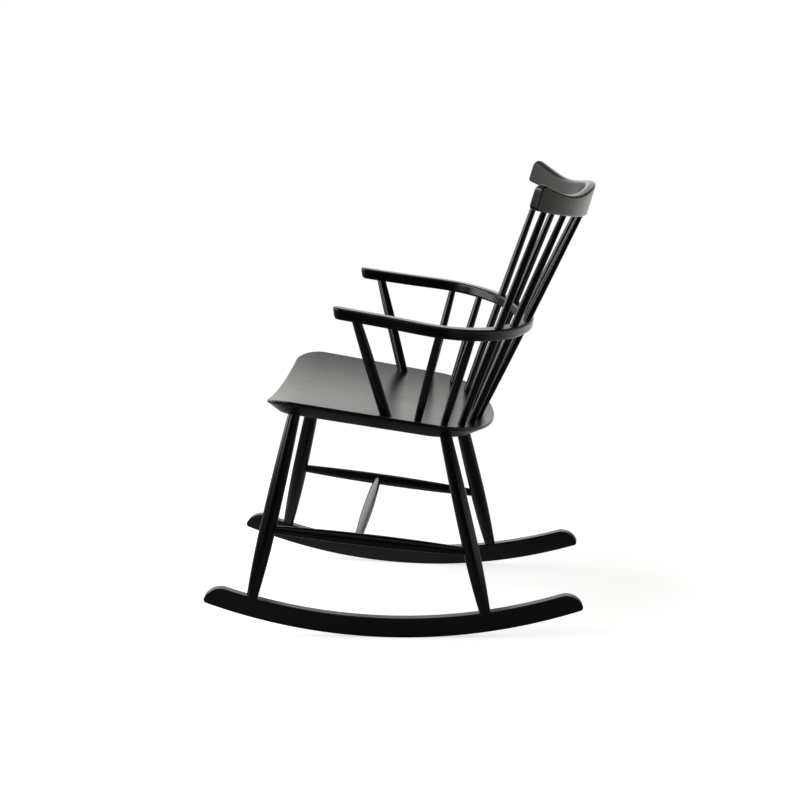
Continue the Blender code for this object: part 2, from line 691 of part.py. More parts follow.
seat = make_seat()
crest = make_crest()
centre = bow_centre_line()
bow = make_bow(centre)
side_stretchers = []
for side_name, side in SIDES.items():
    rocker = make_rocker("rocker_" + side_name, side)
    front_leg, front_foot, front_axis = make_leg("front_leg_" + side_name, side, -FRONT_LEG_REACH,
                                                 FRONT_LEG_SETBACK, FRONT_LEG_INSET, seat, rocker)
    rear_leg, rear_foot_point, rear_axis = make_leg("rear_leg_" + side_name, side, REAR_LEG_REACH,
                                                    SEAT_DEPTH - REAR_LEG_ADVANCE, REAR_LEG_INSET, seat,
                                                    rocker)
    stretcher_front = at_height(front_foot, front_axis, SIDE_STRETCHER_FRONT_HEIGHT)
    stretcher_rear = at_height(rear_foot_point, rear_axis, SIDE_STRETCHER_REAR_HEIGHT)
    side_stretcher = make_stretcher("side_stretcher_" + side_name, stretcher_front, stretcher_rear,
                                    SIDE_STRETCHER_END_RADIUS, SIDE_STRETCHER_SWELL_RADIUS, LEG_SIDES,
                                    [front_leg, rear_leg])
    side_stretchers.append((side_stretcher, stretcher_front.lerp(stretcher_rear, CROSS_STRETCHER_AT)))

    make_upright("arm_post_" + side_name, side_foot(POST_FOOT_ADVANCE, POST_FOOT_INSET, side),
                 bow_point(centre, POST_TOP_ADVANCE, side),
                 (POST_FOOT_RADIUS, POST_FOOT_RADIUS, POST_TOP_RADIUS), POST_SWELL_AT, seat, bow)
    short_radii = (SHORT_SPINDLE_END_RADIUS, SHORT_SPINDLE_SWELL_RADIUS, SHORT_SPINDLE_END_RADIUS)
    make_upright("short_spindle_front_" + side_name,
                 side_foot(FRONT_SHORT_FOOT_ADVANCE, FRONT_SHORT_FOOT_INSET, side),
                 bow_point(centre, FRONT_SHORT_TOP_ADVANCE, side),
                 short_radii, SHORT_SPINDLE_SWELL_AT, seat, bow)
    make_upright("short_spindle_rear_" + side_name,
                 side_foot(REAR_SHORT_FOOT_ADVANCE, REAR_SHORT_FOOT_INSET, side),
                 bow_point(centre, REAR_SHORT_TOP_ADVANCE, side),
                 short_radii, SHORT_SPINDLE_SWELL_AT, seat, bow)
    for rank in LONG_SPINDLE_FOOT_ANGLES:
        start, end = long_spindle_ends(rank, side)
        stations = swelling((end - start).length, LONG_SPINDLE_FOOT_RADIUS, LONG_SPINDLE_SWELL_RADIUS,
                            LONG_SPINDLE_TOP_RADIUS, LONG_SPINDLE_SWELL_AT)
        spindle, socket = turned_part("long_spindle_" + rank + "_" + side_name, stations, start, end,
                                      SPINDLE_SIDES)
        for carrier in (seat, bow, crest):
            combine(carrier, socket)

(left_stretcher, left_middle), (right_stretcher, right_middle) = side_stretchers
make_stretcher("cross_stretcher", left_middle, right_middle, CROSS_STRETCHER_END_RADIUS,
               CROSS_STRETCHER_SWELL_RADIUS, SPINDLE_SIDES, [left_stretcher, right_stretcher])

# The origin goes to the middle of the chair's length, between the rockers' front tips and the crest's back
front_reach = ROCKER_FRONT_REACH * math.cos(ROCKER_TOE_IN) + ROCKER_THICKNESS / 2 * math.sin(ROCKER_TOE_IN)
crest_corner_out = CREST_THICKNESS / 2 - CREST_EDGE_RADIUS
crest_corner_up = CREST_MIDDLE_HEIGHT - CREST_EDGE_RADIUS
back_reach = (crest_y + crest_corner_out * math.cos(CREST_LEAN) + crest_corner_up * math.sin(CREST_LEAN)
              + CREST_EDGE_RADIUS)
root.location = (0.0, (front_reach - back_reach) / 2, 0.0)
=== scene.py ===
# %% [markdown]
# # A black spindle-back rocking chair
#
# The chair is turned and bent wood under a satin black lacquer. A dished seat stands on four legs,
# the legs stand on two rockers, an arm bow is bent round the back, and long spindles pass through
# the bow into a curved crest rail.
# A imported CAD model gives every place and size. Its solids are coarse, because a physics engine
# uses them too, so each one is stood in for by a finer surface that is worked out here with numpy.

# %% Load the fixed frame
import json
import math

import bpy
import numpy as np
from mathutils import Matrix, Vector


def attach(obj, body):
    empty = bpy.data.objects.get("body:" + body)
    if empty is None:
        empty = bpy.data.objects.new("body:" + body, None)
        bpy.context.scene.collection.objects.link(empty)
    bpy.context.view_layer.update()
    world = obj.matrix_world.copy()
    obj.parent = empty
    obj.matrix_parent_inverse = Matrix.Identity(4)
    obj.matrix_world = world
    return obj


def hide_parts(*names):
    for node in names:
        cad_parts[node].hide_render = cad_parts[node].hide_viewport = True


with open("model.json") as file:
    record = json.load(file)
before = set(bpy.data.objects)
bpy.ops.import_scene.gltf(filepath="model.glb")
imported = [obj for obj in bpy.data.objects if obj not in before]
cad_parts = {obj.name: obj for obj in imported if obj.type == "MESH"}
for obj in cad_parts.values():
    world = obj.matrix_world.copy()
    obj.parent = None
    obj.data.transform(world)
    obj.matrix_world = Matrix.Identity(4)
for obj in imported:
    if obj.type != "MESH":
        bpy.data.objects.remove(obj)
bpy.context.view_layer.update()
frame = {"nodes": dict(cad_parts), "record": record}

# %% [markdown]
# ## Where the chair stands
#
# The rockers touch the floor in one short line, and most sizes of the chair are measured from it:
# back along +Y, up along +Z, and out to the sitter's left along +X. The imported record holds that
# line as a mount, so its place is read from there and not written twice.

# %% Find the line of rest
mounts = {mount["name"]: mount for mount in frame["record"]["mounts"]}
rest_y = mounts["floor_left"]["pos_m"][1]
SIDES = {"left": 1.0, "right": -1.0}
print("the rockers rest at y =", rest_y)

# %% [markdown]
# ## The camera
#
# The picture is taken from the chair's left, from a little higher than its crest, with a long lens.
# The place and the two angles were found by fitting the CAD solids to the photograph's outline. A
# camera without roll is turned by a yaw and a pitch alone, so no matrix has to be written out.

# %% Set the camera
IMAGE_PIXELS = 800
FOCAL_PIXELS = 1700
CAMERA_SIDE = 3.3
CAMERA_BACK = 0.2173
CAMERA_HEIGHT = 1.1121
CAMERA_YAW = math.radians(4.17)
CAMERA_PITCH = math.radians(11.99)

camera_data = bpy.data.cameras.new("side_camera")
camera_data.lens = FOCAL_PIXELS / IMAGE_PIXELS * camera_data.sensor_width
camera = bpy.data.objects.new("side_camera", camera_data)
bpy.context.scene.collection.objects.link(camera)
camera.location = (CAMERA_SIDE, rest_y + CAMERA_BACK, CAMERA_HEIGHT)
sight = Vector((-math.cos(CAMERA_YAW) * math.cos(CAMERA_PITCH),
                -math.sin(CAMERA_YAW) * math.cos(CAMERA_PITCH), -math.sin(CAMERA_PITCH)))
camera.rotation_euler = sight.to_track_quat("-Z", "Y").to_euler()
bpy.context.scene.camera = camera
print("lens", round(camera_data.lens, 2), "mm")

# %% [markdown]
# ## One way to skin every piece
#
# Each piece of this chair is a closed ring that is carried along a line: a circle for a spindle, a
# rounded rectangle for a rail, the seat's outline for the seat. So every piece is one grid of
# points, rows along the line and columns round the ring. One function joins neighbours by quads
# and closes both ends with a fan, and no piece needs any other mesh code.
# Each point also keeps three numbers for the wood: how far along, across and through the fibres it
# lies. The finish reads them, so the fibres follow a bend as they do in steamed wood.

# %% Turn a grid of points into a piece
SHARP_ANGLE = math.radians(38)
pieces = {}


def skin(name, rings, fibres, rub):
    """Quads between ring i and i + 1, column j and j + 1 (the last joins the first), and a fan of
    triangles from the middle of the first and of the last ring. The sign of the volume, a third of
    the sum of middle · normal over the quads, says whether the faces point out; if not they are
    turned over. rub is 0 on a flat and 1 on an edge."""
    rows, columns = rings.shape[:2]
    index = np.arange(rows * columns).reshape(rows, columns)
    beside = np.roll(index, -1, axis=1)
    quads = np.stack([index[:-1], beside[:-1], beside[1:], index[1:]], axis=-1).reshape(-1, 4)
    first, last = rows * columns, rows * columns + 1
    fan_first = np.stack([np.full(columns, first), beside[0], index[0]], axis=-1)
    fan_last = np.stack([np.full(columns, last), index[-1], beside[-1]], axis=-1)

    def with_poles(grid):
        """The grid as one list, then the mean of its first row and the mean of its last."""
        flat = grid.reshape(rows * columns, -1)
        return np.concatenate([flat, grid[:1].mean(axis=1), grid[-1:].mean(axis=1)])

    points = with_poles(rings)
    corners = points[quads] - points.mean(axis=0)
    normals = np.cross(corners[:, 2] - corners[:, 0], corners[:, 3] - corners[:, 1])
    order = 1 if np.sum(corners.mean(axis=1) * normals) > 0 else -1
    mesh = bpy.data.meshes.new(name)
    mesh.from_pydata(points.tolist(), [], quads[:, ::order].tolist() + fan_first[:, ::order].tolist()
                     + fan_last[:, ::order].tolist())
    mesh.attributes.new("fibre", "FLOAT_VECTOR", "POINT").data.foreach_set(
        "vector", with_poles(fibres).ravel().astype(np.float32))
    mesh.attributes.new("rub", "FLOAT", "POINT").data.foreach_set(
        "value", with_poles(rub[..., None]).ravel().astype(np.float32))
    mesh.shade_smooth()
    mesh.set_sharp_from_angle(angle=SHARP_ANGLE)
    piece = bpy.data.objects.new(name, mesh)
    bpy.context.scene.collection.objects.link(piece)
    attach(piece, "root")
    pieces[name] = piece
    return piece


print("edges sharper than", round(math.degrees(SHARP_ANGLE)), "degrees stay crisp")

# %% [markdown]
# ## Three tilted workbenches
#
# Seat, bow and crest are drawn flat, each on its own bench that is turned about the X axis: the
# seat and the arms fall to the rear by nearly the same angle, and the crest leans back. A bench is
# an origin and three axes, so placing a whole array of points is one product.

# %% Define a tilted bench
def bench(origin, tilt):
    """Origin and axes of a plane that is turned back by tilt about X: Y dips and Z leans back."""
    axes = np.array([[1, 0, 0],
                     [0, math.cos(tilt), -math.sin(tilt)],
                     [0, math.sin(tilt), math.cos(tilt)]])
    return np.array(origin), axes


def put(points, place):
    """Origin plus each coordinate times its axis."""
    origin, axes = place
    return origin + points @ axes


def lift_off(points, place):
    """The other way round: a point of the chair as the bench sees it."""
    origin, axes = place
    return (points - origin) @ axes.T


SEAT_FRONT_REACH = 0.2551
SEAT_FRONT_HEIGHT = 0.4653
SEAT_SLOPE = math.radians(8.6)
SEAT_DEPTH = 0.4270
BOW_HEIGHT = 0.5826
BOW_SLOPE = math.radians(8.8)
CREST_SETBACK = 0.1633
CREST_HEIGHT = 0.7908
CREST_LEAN = math.radians(16)

seat_back_y = rest_y - SEAT_FRONT_REACH + SEAT_DEPTH * math.cos(SEAT_SLOPE)
seat_bench = bench((0, rest_y - SEAT_FRONT_REACH, SEAT_FRONT_HEIGHT), SEAT_SLOPE)
bow_bench = bench((0, seat_back_y, BOW_HEIGHT), BOW_SLOPE)
crest_bench = bench((0, seat_back_y + CREST_SETBACK, CREST_HEIGHT), CREST_LEAN)
print("the seat's rear edge is at y =", round(seat_back_y, 4))

# %% [markdown]
# ## Turned pieces
#
# Legs, stretchers, posts and spindles are turned on a lathe and swell gently between their ends.
# Nineteen straight pieces need nineteen axes. Writing those down would repeat the CAD model, so
# each axis is measured from its solid: the middles of the two end rings.

# %% Measure the axis of a turned solid
SAME_CORNER_DIGITS = 5
RING_DEPTH = 0.0006
STEEP = 0.7


def solid_points(node):
    """The different corners of a CAD solid, as rows of x, y and z."""
    mesh = frame["nodes"][node].data
    flat = np.empty(len(mesh.vertices) * 3, np.float32)
    mesh.vertices.foreach_get("co", flat)
    return np.unique(np.round(flat.reshape(-1, 3).astype(float), SAME_CORNER_DIGITS), axis=0)


def axis_ends(node):
    """Middles of the end rings, lower or front end first. The longest direction of the corners is
    the first guess, and the line between the ring middles that it finds is the second."""
    points = solid_points(node)
    direction = np.linalg.svd(points - points.mean(axis=0), full_matrices=False)[2][0]
    for _ in range(2):
        along = points @ direction
        low = points[along < along.min() + RING_DEPTH].mean(axis=0)
        high = points[along > along.max() - RING_DEPTH].mean(axis=0)
        direction = (high - low) / np.linalg.norm(high - low)
    backwards = direction[2] < 0 if abs(direction[2]) > STEEP else direction[1] < 0
    return (high, low) if backwards else (low, high)


axes = {node: axis_ends(node) for node in frame["nodes"]
        if node.startswith(("front_leg", "rear_leg", "arm_post"))
        or "spindle" in node or "stretcher" in node}
print(len(axes), "axes, from", round(min(np.linalg.norm(b - a) for a, b in axes.values()), 3),
      "to", round(max(np.linalg.norm(b - a) for a, b in axes.values()), 3), "m long")

# %% [markdown]
# A lathe profile is a radius for every place along the axis. Here it is a parabola on each side of
# the fullest point, which gives the soft cigar shape of the real spindles with four numbers.

# %% Turn a piece round its axis
TURNED_COLUMNS = 40
TURNED_ROWS = 72
COPE_FADE = 8
GRAIN_SHIFT = 0.37


def swelling(share, foot, full, head, full_at):
    """full + (end - full) * away², where away runs from 0 at the fullest point to 1 at that end."""
    away = np.where(share < full_at, (full_at - share) / full_at, (share - full_at) / (1 - full_at))
    return full + np.where(share < full_at, foot - full, head - full) * away ** 2


def round_frame(start, end):
    """Unit axis, and two directions square to it and to each other."""
    axis = (end - start) / np.linalg.norm(end - start)
    across = np.cross(axis, [1.0, 0.0, 0.0] if abs(axis[0]) < STEEP else [0.0, 1.0, 0.0])
    across /= np.linalg.norm(across)
    return axis, across, np.cross(axis, across)


def turn(name, start, end, radii, full_at, foot_normal=None):
    """Point = start + axis * t + radius(t) * (across * cos u + through * sin u). With foot_normal the
    rows lean at the foot so that the first ring lies in the plane square to it through start; the
    lean dies out as (1 - share) to the power COPE_FADE. Each piece gets its own stretch of grain."""
    axis, across, through = round_frame(start, end)
    length = np.linalg.norm(end - start)
    share = np.linspace(0.0, 1.0, TURNED_ROWS)[:, None]
    turn_angle = np.linspace(0.0, 2 * math.pi, TURNED_COLUMNS, endpoint=False)[None, :]
    radius = swelling(share, *radii, full_at)
    spoke = np.cos(turn_angle)[..., None] * across + np.sin(turn_angle)[..., None] * through
    along = share * length + np.zeros_like(turn_angle)
    if foot_normal is not None:
        foot_lean = -radii[0] * (spoke @ foot_normal) / (axis @ foot_normal)
        along = along + foot_lean * (1 - share) ** COPE_FADE
    rings = start + along[..., None] * axis + radius[..., None] * spoke
    fibres = np.stack([along + GRAIN_SHIFT * len(pieces), radius * np.cos(turn_angle),
                       radius * np.sin(turn_angle)], axis=-1)
    skin(name, rings, fibres, np.zeros_like(along))


print("a turning has", TURNED_ROWS, "rings of", TURNED_COLUMNS, "points")

# %% [markdown]
# ## Spindles, posts and stretchers
#
# The long spindles taper towards the crest, the arm posts are thick at the seat, and the stretchers
# are fullest in the middle. The radii are those of the CAD turnings: at the foot, at the fullest point
# and at the head. The last number says how far along the fullest point lies.

# %% Turn spindles, posts and stretchers
TURNINGS = {
    "long_spindle": ((0.0067, 0.0079, 0.0055), 0.36),
    "short_spindle": ((0.0065, 0.0079, 0.0065), 0.50),
    "arm_post": ((0.0104, 0.0104, 0.0081), 0.40),
    "side_stretcher": ((0.0073, 0.0118, 0.0073), 0.50),
    "cross_stretcher": ((0.0066, 0.0106, 0.0066), 0.50),
}
turned_names = []
for node, (start, end) in axes.items():
    for kind, (radii, full_at) in TURNINGS.items():
        if node.startswith(kind):
            turn(node + "_turned", start, end, radii, full_at)
            turned_names.append(node)
print(len(turned_names), "spindles, posts and stretchers")

# %% [markdown]
# ## Legs
#
# A leg's foot is as wide as the rocker is thick and is coped to sit on the rocker's curved top, so
# its lowest ring lies in the rocker's top plane. That plane is square to the line from the foot to
# the centre of the rocker's arc. Below the foot the solid has a tenon that nobody sees; its length
# is taken off the measured axis, less a hair's breadth that sinks the foot so that no slit shows.

# %% Turn the legs
ROCKER_RADIUS = 1.065
ROCKER_THICKNESS = 0.0215
LEG_TENON = 0.018
LEG_RADII = (ROCKER_THICKNESS / 2, 0.0154, 0.0112)
LEG_FULL_AT = 0.36
LEG_SINK = 0.0004
for node, (tenon_end, top) in axes.items():
    if "_leg_" in node:
        axis = (top - tenon_end) / np.linalg.norm(top - tenon_end)
        foot = tenon_end + axis * (LEG_TENON - LEG_SINK)
        arc_centre = np.array([foot[0], rest_y, ROCKER_RADIUS])
        normal = (arc_centre - foot) / np.linalg.norm(arc_centre - foot)
        turn(node + "_turned", foot, top, LEG_RADII, LEG_FULL_AT, foot_normal=normal)
        turned_names.append(node)
        print(node, "foot at", np.round(foot, 4))

# %% [markdown]
# ## Rails with rounded edges
#
# Rockers, arm bow and crest are flat stock with eased edges. All three are one rounded rectangle
# that is carried along a bent line while its width and its lower and upper edge change. Every
# corner of the section is a quarter circle, and a pair of extra points near the ends of each flat
# keeps the flat's shading flat.

# %% Carry a rounded rectangle along a line
CORNER_STEPS = 6
FLAT_GUARD = 0.08
LARGEST_EDGE = 0.98


def rail(name, path, side, up, half_width, low, high, edges):
    """Section corners at side * half_width and up * low or high, each rounded by a quarter circle of
    its own radius in edges: outer top, inner top, inner low, outer low. The ring runs from the outer
    flat over the top. Widths and heights are one number a row, and a radius is one number or one a
    row. No radius is more than LARGEST_EDGE of the half width or half height."""
    most = np.minimum(half_width, (high - low) / 2) * LARGEST_EDGE
    quarter = np.linspace(0.0, math.pi / 2, CORNER_STEPS + 1)
    sections = []
    for corner in range(4):
        angle = quarter + corner * math.pi / 2
        edge = np.minimum(edges[corner], most)
        centre_side = (half_width - edge) * (1 if corner in (0, 3) else -1)
        centre_up = high - edge if corner in (0, 1) else low + edge
        sections.append(np.stack([centre_side[:, None] + edge[:, None] * np.cos(angle),
                                  centre_up[:, None] + edge[:, None] * np.sin(angle)], axis=-1))
    ring = []
    rubbed = []
    corner_rub = np.sin(2 * quarter)
    for corner in range(4):
        start, end = sections[corner][:, -1:], sections[(corner + 1) % 4][:, :1]
        ring += [sections[corner], start + (end - start) * FLAT_GUARD, end + (start - end) * FLAT_GUARD]
        rubbed += [corner_rub, [0.0, 0.0]]
    ring = np.concatenate(ring, axis=1)
    rubbed = np.concatenate(rubbed)
    across, height = ring[..., 0], ring[..., 1]
    rings = path[:, None] + across[..., None] * side[:, None] + height[..., None] * up[:, None]
    run = np.concatenate([[0.0], np.cumsum(np.linalg.norm(np.diff(path, axis=0), axis=1))])
    fibres = np.stack([np.broadcast_to(run[:, None], across.shape), across, height], axis=-1)
    skin(name, rings, fibres, np.broadcast_to(rubbed, across.shape))


print("a rail's ring has", 4 * (CORNER_STEPS + 3), "points")

# %% [markdown]
# ## Rockers
#
# Each rocker is sawn from a board along an arc. The pair stands a little closer together at the rear,
# and the ends are rounded like the nose of a ski: the top edge falls in a quarter ellipse to a small
# round at the bottom edge. The path is the bottom arc, so between the noses the rail's lower edge is
# zero and its upper edge is the height.

# %% Saw the rockers
ROCKER_HEIGHT = 0.038
ROCKER_FRONT_REACH = 0.380
ROCKER_REAR_REACH = 0.342
ROCKER_HALF_SPACING = 0.2344
ROCKER_TOE_IN = math.radians(3.56)
ROCKER_NOSE = 0.034
ROCKER_NOSE_LOW = 0.0065
ROCKER_EDGE = 0.0024
ROCKER_ROWS = 160
ROCKER_NOSE_ROWS = 40
UPWARDS = np.array([0.0, 0.0, 1.0])


def ends_close(start, end, reach, rows, end_rows):
    """Places from start to end: even in between, and over the last reach at both ends spaced as
    1 - cos, so that they crowd where a rounded end turns most."""
    crowd = reach * (1 - np.cos(np.linspace(0.0, math.pi / 2, end_rows)))
    return np.concatenate([start + crowd, np.linspace(start + reach, end - reach, rows)[1:-1],
                           (end - crowd)[::-1]])


def quarter_fall(distance, reach):
    """0 to 1 as a quarter ellipse over the distance from an end; 1 beyond reach."""
    return np.sqrt(1 - (1 - np.clip(distance / reach, 0.0, 1.0)) ** 2)


for side_name, side in SIDES.items():
    front = -ROCKER_RADIUS * math.asin(ROCKER_FRONT_REACH / ROCKER_RADIUS)
    rear = ROCKER_RADIUS * math.asin(ROCKER_REAR_REACH / ROCKER_RADIUS)
    along = ends_close(front, rear, ROCKER_NOSE, ROCKER_ROWS, ROCKER_NOSE_ROWS)
    angle = along / ROCKER_RADIUS
    toe = side * ROCKER_TOE_IN
    back = np.array([-math.sin(toe), math.cos(toe), 0.0])
    out = np.array([math.cos(toe), math.sin(toe), 0.0])
    origin = np.array([side * ROCKER_HALF_SPACING, rest_y, 0.0])
    path = (origin + ROCKER_RADIUS * np.sin(angle)[:, None] * back
            + ROCKER_RADIUS * (1 - np.cos(angle))[:, None] * UPWARDS)
    up = -np.sin(angle)[:, None] * back + np.cos(angle)[:, None] * UPWARDS
    from_nose = np.minimum(along - front, rear - along)
    low = ROCKER_NOSE_LOW * (1 - quarter_fall(from_nose, ROCKER_NOSE_LOW))
    high = ROCKER_NOSE_LOW + (ROCKER_HEIGHT - ROCKER_NOSE_LOW) * quarter_fall(from_nose, ROCKER_NOSE)
    rail("rocker_" + side_name + "_sawn", path, np.broadcast_to(out, path.shape), up,
         np.full(len(along), ROCKER_THICKNESS / 2), low, high, [ROCKER_EDGE] * 4)
    print("rocker", side_name, "runs", round(rear - front, 3), "m along its arc")

# %% [markdown]
# ## Bent lines through given points
#
# The arm bow and the crest's upper edge are smooth lines through a few known points. A natural cubic
# spline is what a thin batten takes when it is held at those points, which is how a chair maker
# draws such a line, so the same curve is used here.

# %% Bend a batten through points
def batten(points, samples):
    """Natural cubic spline by chord length: the second derivative is zero at both ends and continuous
    at each point, which is one linear system for the bends."""
    points = np.asarray(points, float)
    knots = np.concatenate([[0.0], np.cumsum(np.linalg.norm(np.diff(points, axis=0), axis=1))])
    step = np.diff(knots)
    system = np.eye(len(points))
    inner = np.arange(1, len(points) - 1)
    system[inner, inner - 1], system[inner, inner + 1] = step[:-1], step[1:]
    system[inner, inner] = 2 * (step[:-1] + step[1:])
    slope = np.diff(points, axis=0) / step[:, None]
    bend = np.linalg.solve(system, np.pad(6 * np.diff(slope, axis=0), ((1, 1), (0, 0))))
    at = np.linspace(0.0, knots[-1], samples)
    run = np.clip(np.searchsorted(knots, at, side="right") - 1, 0, len(step) - 1)
    before, after = (at - knots[run])[:, None], (knots[run + 1] - at)[:, None]
    width = step[run][:, None]
    return ((bend[run] * after ** 3 + bend[run + 1] * before ** 3) / (6 * width)
            + (points[run] / width - bend[run] * width / 6) * after
            + (points[run + 1] / width - bend[run + 1] * width / 6) * before)


print("a batten over three pegs has the heights", np.round(batten([(0, 0), (1, 1), (2, 0)], 5)[:, 1], 3))

# %% [markdown]
# ## Arm bow
#
# One steam-bent strip makes both arms and the rail behind the back. The long spindles pass through
# its middle, so their measured axes give the points at the rear: each axis is cut with the bow's
# plane. The arm points in front of them are the chair's own sizes. The tips are half round seen from
# above and undercut: near a tip the section leans forward, so the top reaches further than the
# underside, and its upper edges get crisp.

# %% Bend the arm bow
BOW_WIDTH = 0.027
BOW_THICKNESS = 0.0212
BOW_EDGE = 0.0048
BOW_TIP_REACH = 0.012
BOW_TIP_TOP = 0.0036
BOW_TIP_LOW = 0.0052
BOW_TIP_ROWS = 26
BOW_TIP_LEAST = 0.06
BOW_TIP_LEAN = math.tan(math.radians(15))
BOW_LEAN_REACH = 0.045
BOW_ARM = [(0.270, -0.2830), (0.283, -0.1691), (0.2905, -0.0971)]
BOW_ROWS = 260


def plane_cut(node, place):
    """Where an axis passes the bench's own plane: from both ends by their heights over it."""
    low, high = (lift_off(end, place) for end in axes[node])
    return (low + (high - low) * low[2] / (low[2] - high[2]))[:2]


spindle_cuts = [plane_cut("long_spindle_" + rank + "_left", bow_bench)
                for rank in ("outer", "middle", "inner")]
half_bow = np.array(BOW_ARM + [tuple(cut) for cut in spindle_cuts])
line = batten(np.concatenate([half_bow, half_bow[::-1] * [-1, 1]]), BOW_ROWS)
first_way, last_way = line[0] - line[1], line[-1] - line[-2]
tip_reach = BOW_TIP_REACH * np.sin(np.linspace(0.0, math.pi / 2, BOW_TIP_ROWS))[1:, None]
line = np.concatenate([(line[0] + tip_reach * first_way / np.linalg.norm(first_way))[::-1], line,
                       line[-1] + tip_reach * last_way / np.linalg.norm(last_way)])
run = np.concatenate([[0.0], np.cumsum(np.linalg.norm(np.diff(line, axis=0), axis=1))])
way = np.gradient(line, run, axis=0)
way /= np.linalg.norm(way, axis=1)[:, None]
outwards = np.stack([-way[:, 1], way[:, 0], np.zeros(len(way))], axis=1)
from_tip = np.minimum(run, run[-1] - run)
tip_width = np.maximum(quarter_fall(from_tip, BOW_WIDTH / 2), BOW_TIP_LEAST)
tip_high = BOW_THICKNESS / 2 - BOW_TIP_TOP * (1 - quarter_fall(from_tip, BOW_TIP_TOP))
tip_low = -BOW_THICKNESS / 2 + BOW_TIP_LOW * (1 - quarter_fall(from_tip, BOW_TIP_LOW))
near_tip = np.clip((BOW_LEAN_REACH - from_tip) / (BOW_LEAN_REACH - BOW_WIDTH / 2), 0.0, 1.0)
to_tip = np.where(run < run[-1] / 2, -near_tip, near_tip)
upright = np.column_stack([BOW_TIP_LEAN * to_tip[:, None] * way, np.ones(len(way))])
top_edge = BOW_EDGE - (BOW_EDGE - BOW_TIP_TOP) * near_tip
path = put(np.column_stack([line, np.zeros(len(line))]), bow_bench)
rail("arm_bow_bent", path, outwards @ bow_bench[1], upright @ bow_bench[1],
     BOW_WIDTH / 2 * tip_width, tip_low, tip_high, [top_edge, top_edge, BOW_EDGE, BOW_EDGE])
print("the bow is", round(run[-1], 3), "m long before it is bent")

# %% [markdown]
# ## Crest rail
#
# The crest is a board that is bent to an arc and cut to a soft outline: crowned in the middle, with
# a waist on each side and raised ends, and a slight belly below. It is easiest to see as a rail whose
# path is the arc and whose lower and upper edges change along it. Its corners are quarter circles,
# and the inner top edge, where a sitter's shoulders meet it, is eased most.

# %% Bend the crest rail
CREST_RADIUS = 0.505
CREST_HALF_LENGTH = 0.328
CREST_THICKNESS = 0.018
CREST_END_HEIGHT = 0.0485
CREST_WAIST_HEIGHT = 0.035
CREST_MIDDLE_HEIGHT = 0.056
CREST_WAIST_AT = 0.64
CREST_BELLY = 0.005
CREST_TOP_CORNER = 0.013
CREST_LOW_CORNER = 0.007
CREST_EDGES = (0.0048, 0.0078, 0.0030, 0.0030)
CREST_END_EDGE = 0.0025
CREST_ROWS = 220
CREST_END_ROWS = 55
CROWN_SAMPLES = 880

along = ends_close(-CREST_HALF_LENGTH, CREST_HALF_LENGTH, CREST_TOP_CORNER, CREST_ROWS, CREST_END_ROWS)
waist = CREST_WAIST_AT * CREST_HALF_LENGTH
crown = batten([(-CREST_HALF_LENGTH, CREST_END_HEIGHT), (-waist, CREST_WAIST_HEIGHT),
                (0.0, CREST_MIDDLE_HEIGHT), (waist, CREST_WAIST_HEIGHT),
                (CREST_HALF_LENGTH, CREST_END_HEIGHT)], CROWN_SAMPLES)
from_end = CREST_HALF_LENGTH - np.abs(along)
high = (np.interp(along, crown[:, 0], crown[:, 1])
        - CREST_TOP_CORNER * (1 - quarter_fall(from_end, CREST_TOP_CORNER)))
low = (-CREST_BELLY * (1 - (along / CREST_HALF_LENGTH) ** 2)
       + CREST_LOW_CORNER * (1 - quarter_fall(from_end, CREST_LOW_CORNER)))
half_thick = CREST_THICKNESS / 2 - CREST_END_EDGE * (1 - quarter_fall(from_end, CREST_END_EDGE))
angle = along / CREST_RADIUS
outwards = np.stack([np.sin(angle), np.cos(angle), np.zeros(len(angle))], axis=1)
path = put(CREST_RADIUS * (outwards - [0, 1, 0]), crest_bench)
rail("crest_rail_bent", path, outwards @ crest_bench[1],
     np.broadcast_to(crest_bench[1][2], path.shape), half_thick, low, high, CREST_EDGES)
print("the crest is", round(2 * CREST_HALF_LENGTH, 3), "m long before it is bent")

# %% [markdown]
# ## Seat
#
# The seat is a thick plank with rounded corners. It is hollowed across its width so that it rises to
# both sides, rolls down at the front where the knees bend, and hangs in the middle below. A thin
# upright rim and a broad chamfer under it make it look light. Its outline is the ring and a profile
# is the line: from the middle of the top out to the rim, round it, in along the chamfer and back to
# the middle below. The profile is first laid on a flat plank; then each point keeps its share of the
# way from the hanging underside to the hollowed top.

# %% Lay out the seat's outline
SEAT_FRONT_HALF_WIDTH = 0.260
SEAT_REAR_HALF_WIDTH = 0.2485
SEAT_CORNER_RADIUS = 0.054
SEAT_REAR_ROUND = 0.126
SEAT_THICKNESS = 0.0275
SEAT_DISH = 0.020
SEAT_BELLY = 0.013
SEAT_ROLL = 0.0062
SEAT_ROLL_REACH = 0.052
SEAT_COLUMNS = 360
SEAT_CORNER_POINTS = 60

quarter = np.linspace(0.0, math.pi / 2, SEAT_CORNER_POINTS)
corner = np.stack([SEAT_FRONT_HALF_WIDTH - SEAT_CORNER_RADIUS * (1 - np.sin(quarter)),
                   SEAT_CORNER_RADIUS * (1 - np.cos(quarter))], axis=1)
rear = np.stack([SEAT_REAR_HALF_WIDTH * np.cos(quarter),
                 SEAT_DEPTH - SEAT_REAR_ROUND * (1 - np.sin(quarter))], axis=1)
half = np.concatenate([corner, rear[:-1]])
loop = np.concatenate([half, [[0.0, SEAT_DEPTH]], half[::-1] * [-1, 1], half[:1]])
loop_run = np.concatenate([[0.0], np.cumsum(np.linalg.norm(np.diff(loop, axis=0), axis=1))])
even = np.linspace(0.0, loop_run[-1], SEAT_COLUMNS, endpoint=False)
outline = np.stack([np.interp(even, loop_run, loop[:, i]) for i in range(2)], axis=1)
ahead = np.roll(outline, -1, axis=0) - np.roll(outline, 1, axis=0)
